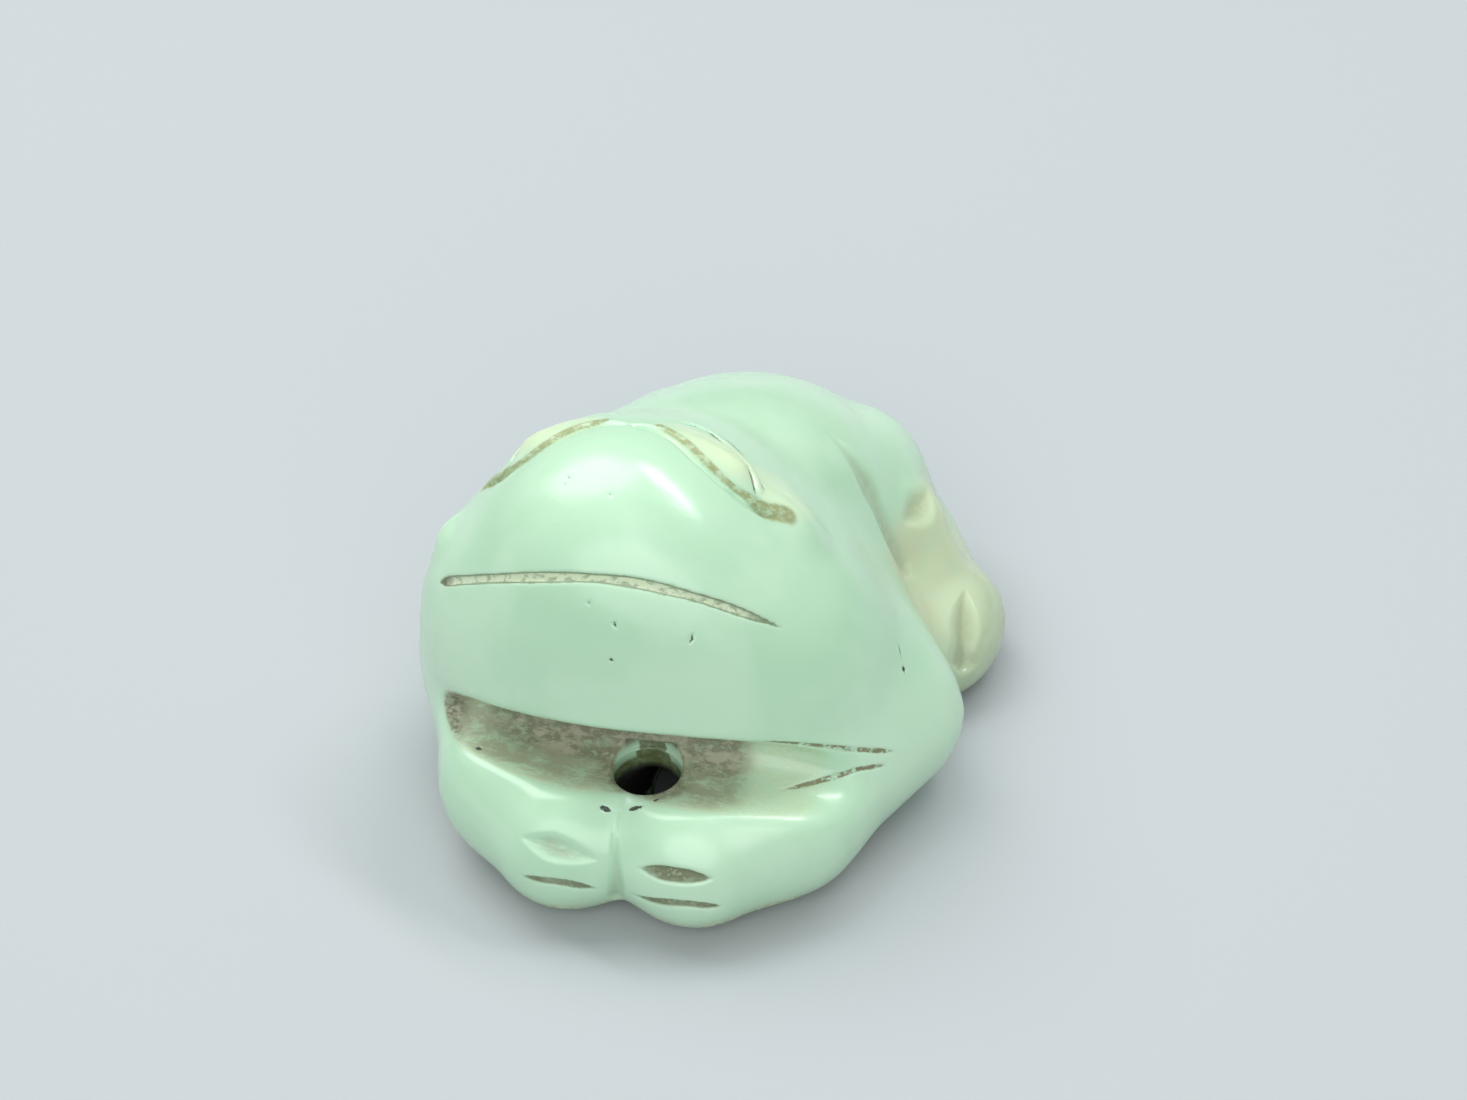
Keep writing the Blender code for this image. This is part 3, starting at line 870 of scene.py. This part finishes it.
# %% Zones
aside = np.abs(x)
right_part = 1 - ease(x, 4.4, 2.4)
right_tip = 1 - ease(x, -9.8, 1.4)
before_rump = 1 - ease(y, 5.5, 7.0)
brow_reach = 0.24 + 0.40 * ease(aside, 5.6, 1.4)
brow_dirt = far_from(q, ("brow_dirt_left", "brow_dirt_right"), 1.4)
zones = {
    "eye": eye_share(q) ** 0.4,
    "below_eye": 1 - ease(length(q - np.array((7.1, -6.5, 17.9))), 1.2, 1.2),
    "leg": ease(aside, 7.8, 2.6) * ease(y, -3.5, 4.5) * before_rump * (1 - ease(z, 9.5, 2.0)),
    "foot": ease(aside, 8.4, 1.6) * ease(y, -3.5, 3.5) * before_rump * (1 - ease(z, 3.0, 4.0)),
    "base": (1 - ease(z, 0.5, 2.4)) * (1 - ease(y, -12.0, 6.0)),
    "hollow": in_hollow * (1 - ease(x, 8.0, 2.5)),
    "stain": in_hollow * right_part * (0.35 + 0.65 * ease(inward, 0.1, 0.8)),
    "stain_deep": in_hollow * np.maximum.reduce([
        right_part * ease(inward, 0.9, 0.9), right_tip, 0.8 * right_part * (1 - ease(from_hole, 1.9, 1.1))]),
    "tip": in_hollow * right_tip,
    "brow": 1 - ease(brow_dirt, 0.3 * brow_reach, brow_reach),
    "mouth": cut_mark("cut_mouth"),
    "mouth_end": cut_mark("cut_mouth") * (1 - ease(x, -9.2, 0.9)),
    "lid": cut_mark("cut_lid"),
    # Leg folds: some dirt, and painted shade that is darkest along the middle of each fold
    "fold": cut_mark("cut_fold"),
    # The cleft between the paws: painted shade along its groove
    "cleft": cut_mark("cut_cleft"),
    "pocket": cut_mark("cut_pocket"),
    "toe": cut_mark("cut_toe"),
    "end": cut_mark("cut_end"),
    "speck": cut_mark("speck"),
    # The drilled wall: olive dirt, darkened further as painted shade inside the hole
    "drilled": drilled,
    # Painted shade: the bore wall low down is painted near black, as if no light reached it
    "bore_deep": drilled * (1 - ease(z, 5.7, 0.5)),
}
for name in ["speck", "lid_ridge"] + [a.name for a in toad.data.attributes if a.name.startswith("cut_")]:
    toad.data.attributes.remove(toad.data.attributes[name])
for name, values in zones.items():
    made = toad.data.attributes.new(name, "FLOAT", "POINT")
    made.data.foreach_set("value", values.astype(np.float32))
    print(name, "covers", round(float((values > 0.5).mean()) * 100, 2), "% of the vertices")

# %% [markdown]
# ## The finish: polished nephrite
# Nephrite jade is a felt of fine fibres, so light goes a little way in and comes back soft and even.
# The polish is waxy rather than glassy. Its index is about 1.61. The colour is a pale grey green with
# clouds some millimetres across, and dirt darkens whatever the polish couldn't reach. Shade is painted
# as well, where the folds, the cleft and the drilled hole lie in shade. One material does all of it:
# each layer of dirt, painted shade or pebble skin lies in one zone, and a pattern breaks it up.

# %% Colours of the stone
def linear(code):
    """An sRGB hex colour as linear values with an alpha of 1."""
    channels = [int(code[i:i + 2], 16) / 255 for i in (1, 3, 5)]
    return tuple(c / 12.92 if c <= 0.04045 else ((c + 0.055) / 1.055) ** 2.4 for c in channels) + (1.0,)


JADE_PALE, JADE_DEEP = "#C3E3C6", "#B9DDBE"
print("pale jade is", [round(channel, 3) for channel in linear(JADE_PALE)[:3]], "in linear light")

# %% Patterns in the stone, and what lies on it
# name: size in millimetres, stretch across, detail, roughness, distortion. The fibres of the real
# stone are some hundredths of a millimetre thick, so the finest pattern is drawn coarser than they are
PATTERNS = {
    "clouds": (8.0, 1.0, 3.0, 0.50, 0.5),
    "mottle": (1.3, 1.0, 4.0, 0.60, 0.0),
    "streaks": (0.7, 2.0, 7.0, 0.72, 0.2),
    "grime": (0.4, 1.3, 6.0, 0.70, 0.2),
    "flecks": (0.30, 2.0, 3.0, 0.60, 0.4),
    "fine": (0.18, 1.0, 3.0, 0.60, 0.0),
}
# zone, its low and high end, strength, pattern that breaks it up, its low and high end, least share,
# colour, roughness
LAYERS = (
    ("eye", 0.0, 1.0, 0.85, "mottle", 0.30, 0.60, 0.80, "#DAE9C3", 0.24),
    ("below_eye", 0.0, 1.0, 0.65, "mottle", 0.30, 0.60, 0.60, "#D8EBC6", 0.24),
    ("leg", 0.0, 1.0, 0.90, "mottle", 0.30, 0.60, 0.75, "#CCD5B2", 0.22),
    ("foot", 0.0, 1.0, 0.75, "mottle", 0.30, 0.60, 0.75, "#AEBE9E", 0.20),
    ("base", 0.0, 1.0, 0.60, "mottle", 0.40, 0.60, 0.30, "#C9BD8D", 0.35),
    # Dirt and painted shade in the haunch fold, the knee notch and the foot groove
    ("fold", 0.1, 0.9, 0.50, "grime", 0.30, 0.60, 0.60, "#98A27C", 0.30),
    # Painted shade along the cleft between the paws
    ("cleft", 0.3, 1.0, 0.40, "grime", 0.30, 0.60, 0.60, "#98A88A", 0.30),
    ("hollow", 0.0, 1.0, 0.45, "streaks", 0.36, 0.62, 0.30, "#CFD2AC", 0.35),
    ("stain", 0.0, 0.9, 0.90, "streaks", 0.38, 0.56, 0.25, "#A3A98B", 0.50),
    ("stain_deep", 0.0, 0.9, 0.85, "grime", 0.38, 0.58, 0.40, "#76765B", 0.60),
    ("tip", 0.0, 1.0, 0.85, "grime", 0.38, 0.60, 0.40, "#5F5D45", 0.60),
    ("stain_deep", 0.2, 0.9, 0.75, "streaks", 0.50, 0.60, 0.00, "#B9B8A0", 0.60),
    ("brow", 0.0, 0.8, 0.88, "grime", 0.36, 0.56, 0.40, "#8A8F58", 0.55),
    ("lid", 0.2, 0.6, 0.85, "grime", 0.20, 0.50, 0.70, "#5F6E55", 0.40),
    ("mouth", 0.05, 0.30, 0.85, "grime", 0.25, 0.50, 0.55, "#74825C", 0.50),
    ("mouth", 0.45, 0.85, 0.95, "flecks", 0.38, 0.52, 0.40, "#DDEACB", 0.55),
    ("mouth_end", 0.2, 0.7, 0.90, "grime", 0.40, 0.60, 0.50, "#5A5039", 0.60),
    ("pocket", 0.3, 0.9, 0.55, "streaks", 0.40, 0.60, 0.10, "#98A182", 0.35),
    ("toe", 0.15, 0.50, 0.92, "streaks", 0.30, 0.55, 0.60, "#717653", 0.55),
    ("toe", 0.6, 1.0, 0.60, "fine", 0.54, 0.62, 0.00, "#C4C8A8", 0.60),
    ("end", 0.2, 0.6, 0.90, "grime", 0.42, 0.52, 0.00, "#7D764F", 0.55),
    ("speck", 0.2, 0.5, 1.00, "fine", 0.25, 0.45, 0.50, "#3A4636", 0.55),
    # Olive dirt and painted shade on the drilled wall
    ("drilled", 0.2, 0.8, 0.95, "grime", 0.30, 0.60, 0.70, "#5A6330", 0.55),
    # Painted shade: near black on the low bore wall
    ("bore_deep", 0.0, 1.0, 1.00, "fine", 0.00, 0.10, 1.00, "#0E0D09", 0.90),
)
# Roughness where the polish is best, and where the felt of fibres shows through it
POLISH, FELT = 0.21, 0.26
NEPHRITE_INDEX = 1.61
# Light goes in a little, deepest in the green
SINK_SHARE, SINK_COLOURS, SINK_DEPTH = 0.35, (0.8, 1.0, 0.8), 1.2 * MM
# Pits and fibres: strength and depth of the bump, and the share of the mottle in it
BUMP, BUMP_DEPTH, MOTTLE_SHARE = 0.5, 0.06 * MM, 0.3
print(len(PATTERNS), "patterns,", len(LAYERS), "layers in", len({layer[0] for layer in LAYERS}), "zones")


# %% The material
def make_nephrite(material):
    """Make a material polished pale green nephrite with stained hollows and cuts, and painted shade in the
    leg folds, the cleft and the drilled hole.
    """
    material.use_nodes = True
    tree = material.node_tree
    tree.nodes.clear()
    place = add_node(tree, "ShaderNodeTexCoord").outputs["Object"]
    patterns = {}
    for name, (size, stretch, detail, rough, warp) in PATTERNS.items():
        drawn = add_node(
            tree, "ShaderNodeMapping", {"Vector": place, "Scale": (1 / stretch, 1, 1)}).outputs[0]
        patterns[name] = add_node(tree, "ShaderNodeTexNoise", {
            "Vector": drawn, "Scale": 1 / (size * MM), "Detail": detail, "Roughness": rough,
            "Distortion": warp}).outputs["Fac"]
    share = add_node(tree, "ShaderNodeMapRange", {0: patterns["clouds"], 1: 0.35, 2: 0.65, 3: 0.0, 4: 1.0},
                     interpolation_type="SMOOTHSTEP").outputs[0]
    colour = add_node(tree, "ShaderNodeMix", {0: share, 6: linear(JADE_DEEP), 7: linear(JADE_PALE)},
                      data_type="RGBA").outputs[2]
    roughness = add_node(
        tree, "ShaderNodeMapRange", {0: patterns["mottle"], 1: 0.4, 2: 0.7, 3: POLISH, 4: FELT},
        interpolation_type="SMOOTHSTEP").outputs[0]
    for name, low, high, strength, pattern, start, end, least, tint, rough in LAYERS:
        zone = add_node(tree, "ShaderNodeAttribute", attribute_name=name).outputs["Fac"]
        reach = add_node(tree, "ShaderNodeMapRange", {0: zone, 1: low, 2: high, 3: 0.0, 4: strength},
                         interpolation_type="SMOOTHSTEP").outputs[0]
        broken = add_node(
            tree, "ShaderNodeMapRange", {0: patterns[pattern], 1: start, 2: end, 3: least, 4: 1.0},
            interpolation_type="SMOOTHSTEP").outputs[0]
        share = add_node(tree, "ShaderNodeMath", {0: reach, 1: broken}, operation="MULTIPLY").outputs[0]
        colour = add_node(
            tree, "ShaderNodeMix", {0: share, 6: colour, 7: linear(tint)}, data_type="RGBA").outputs[2]
        roughness = add_node(tree, "ShaderNodeMix", {0: share, 2: roughness, 3: rough}).outputs[0]
    # Rough places are pitted, polished ones are all but smooth
    pitted = add_node(tree, "ShaderNodeMapRange", {0: roughness, 1: 0.2, 2: 0.6, 3: 0.02, 4: 1.0}).outputs[0]
    height = add_node(
        tree, "ShaderNodeMath", {0: patterns["fine"], 1: pitted}, operation="MULTIPLY").outputs[0]
    height = add_node(tree, "ShaderNodeMath", {0: patterns["mottle"], 1: MOTTLE_SHARE, 2: height},
                      operation="MULTIPLY_ADD").outputs[0]
    bump = add_node(
        tree, "ShaderNodeBump", {"Strength": BUMP, "Distance": BUMP_DEPTH, "Height": height}).outputs[0]
    shader = add_node(tree, "ShaderNodeBsdfPrincipled", {
        "Base Color": colour, "Roughness": roughness, "IOR": NEPHRITE_INDEX, "Normal": bump,
        "Subsurface Weight": SINK_SHARE, "Subsurface Radius": SINK_COLOURS, "Subsurface Scale": SINK_DEPTH})
    add_node(tree, "ShaderNodeOutputMaterial", {"Surface": shader.outputs[0]})


make_nephrite(stone)
toad.data.materials.clear()
toad.data.materials.append(stone)
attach(toad, "root")
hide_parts("jade_toad")
print("finished", toad.name, "with", len(stone.node_tree.nodes), "nodes in its stone")

# %% [markdown]
# ## Floor and light
# The toad stands on a plain pale matt floor. Polished stone shows what it reflects, so the light is
# soft and large: a room that is bright overhead and dim below, a broad lamp above the toad's right
# for the wide sheen on the crown, a narrow one behind its left for the streak beside it, and a very
# broad one in front that fills the face.

# %% Floor
FLOOR_GREY, FLOOR_HALF = "#B4B9BC", 1.5


def plain_floor():
    """A large pale matt floor."""
    bm = bmesh.new()
    bmesh.ops.create_grid(bm, x_segments=1, y_segments=1, size=FLOOR_HALF)
    floor = new_object("floor", bm)
    material = bpy.data.materials.new("pale_paper")
    material.use_nodes = True
    shader = material.node_tree.nodes["Principled BSDF"]
    shader.inputs["Base Color"].default_value = linear(FLOOR_GREY)
    shader.inputs["Roughness"].default_value = 0.9
    floor.data.materials.append(material)
    return floor


floor = plain_floor()
print("floor", [round(side, 2) for side in floor.dimensions], "m")

# %% Lamps
# Middle of the toad's height, which the lamps face
AIM = Vector((0, 0, 10 * MM))
# name: direction from the toad, distance in metres, direction of its long side, its sizes, watts
LAMPS = {
    "broad_lamp": ((-0.40, 0.26, 0.88), 0.50, (1, 0, 0), (0.50, 0.32), 1.5),
    "strip_lamp": ((0.31, 0.34, 0.88), 0.60, (0.85, -0.50, 0), (0.46, 0.06), 1.1),
    "front_lamp": ((0.12, -0.80, 0.58), 0.70, (1, 0, 0), (1.00, 0.60), 2.6),
}


def lamp(name, toward, away, along, sizes, power):
    """A soft lamp that faces the toad from a direction, its long side along another."""
    data = bpy.data.lights.new(name, "AREA")
    data.shape = "ELLIPSE"
    data.size, data.size_y = sizes
    data.energy = power
    made = bpy.data.objects.new(name, data)
    toward = Vector(toward).normalized()
    side = toward.cross(Vector(along)).normalized()
    made.matrix_world = Matrix((side.cross(toward), side, toward)).transposed().to_4x4()
    made.location = AIM + toward * away
    bpy.context.scene.collection.objects.link(made)
    return made


for name, settings in LAMPS.items():
    print(name, "at", [round(c, 2) for c in lamp(name, *settings).location], "m")

# %% The room
ROOM_WHITE, DIM, BRIGHT = "#DDE6E6", 0.08, 0.76


def pale_room():
    """A world that is dim below and bright overhead."""
    world = bpy.data.worlds.new("pale_room")
    world.use_nodes = True
    room = world.node_tree
    background = room.nodes["Background"]
    around = add_node(room, "ShaderNodeTexCoord").outputs["Generated"]
    upward = add_node(room, "ShaderNodeSeparateXYZ", {0: around}).outputs["Z"]
    glow = add_node(room, "ShaderNodeMapRange", {0: upward, 1: -0.1, 2: 0.9, 3: DIM, 4: BRIGHT},
                    interpolation_type="SMOOTHSTEP").outputs[0]
    room.links.new(glow, background.inputs["Strength"])
    background.inputs["Color"].default_value = linear(ROOM_WHITE)
    return world


bpy.context.scene.world = pale_room()
bpy.context.scene.view_settings.view_transform = "Standard"
print("world", bpy.context.scene.world.name)
